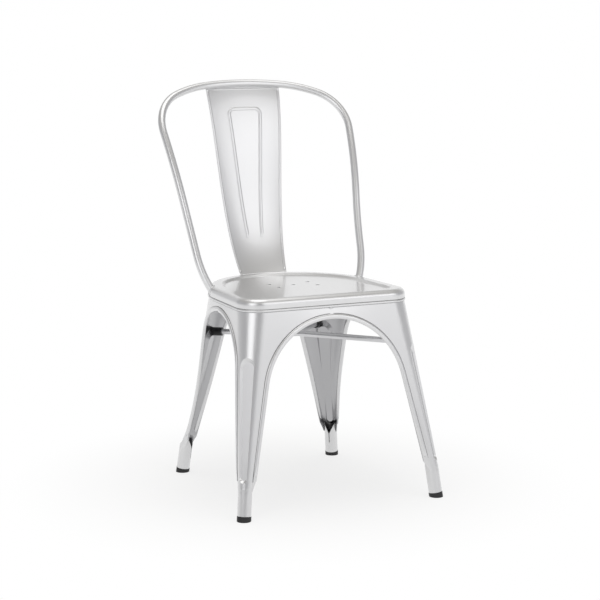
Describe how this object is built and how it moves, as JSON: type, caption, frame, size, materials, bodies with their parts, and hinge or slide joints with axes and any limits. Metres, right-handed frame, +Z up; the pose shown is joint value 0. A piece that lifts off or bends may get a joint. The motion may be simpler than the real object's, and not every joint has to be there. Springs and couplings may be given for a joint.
{
  "type": "metal dining chair",
  "caption": "Stackable pressed-steel side chair: sunk seat on flared, fluted legs joined by arches, bent tube back with a wide curved splat, and a crossed brace under the seat.",
  "frame": {"origin": "floor level, at the middle of the chair's footprint box", "axes": "+Z up, the front of the chair faces -Y, the left side of the chair in the front view is -X"},
  "size_m": [0.4656, 0.5286, 0.85],
  "materials": {
    "silver_steel": "satin",
    "brace_steel": "satin",
    "foot_rubber": "matte",
    "sleeve_plastic": "matte"
  },
  "bodies": {
    "root": {"back_hoop": "silver_steel", "back_splat": "silver_steel", "brace_front": "brace_steel", "brace_rear": "brace_steel", "foot_front_left": "foot_rubber", "foot_front_right": "foot_rubber", "foot_rear_left": "foot_rubber", "foot_rear_right": "foot_rubber", "leg_front_left": "silver_steel", "leg_front_right": "silver_steel", "leg_rear_left": "silver_steel", "leg_rear_right": "silver_steel", "seat_pan": "silver_steel", "sleeve_front_left": "sleeve_plastic", "sleeve_front_right": "sleeve_plastic", "sleeve_rear_left": "sleeve_plastic", "sleeve_rear_right": "sleeve_plastic"}
  },
  "joints": []
}
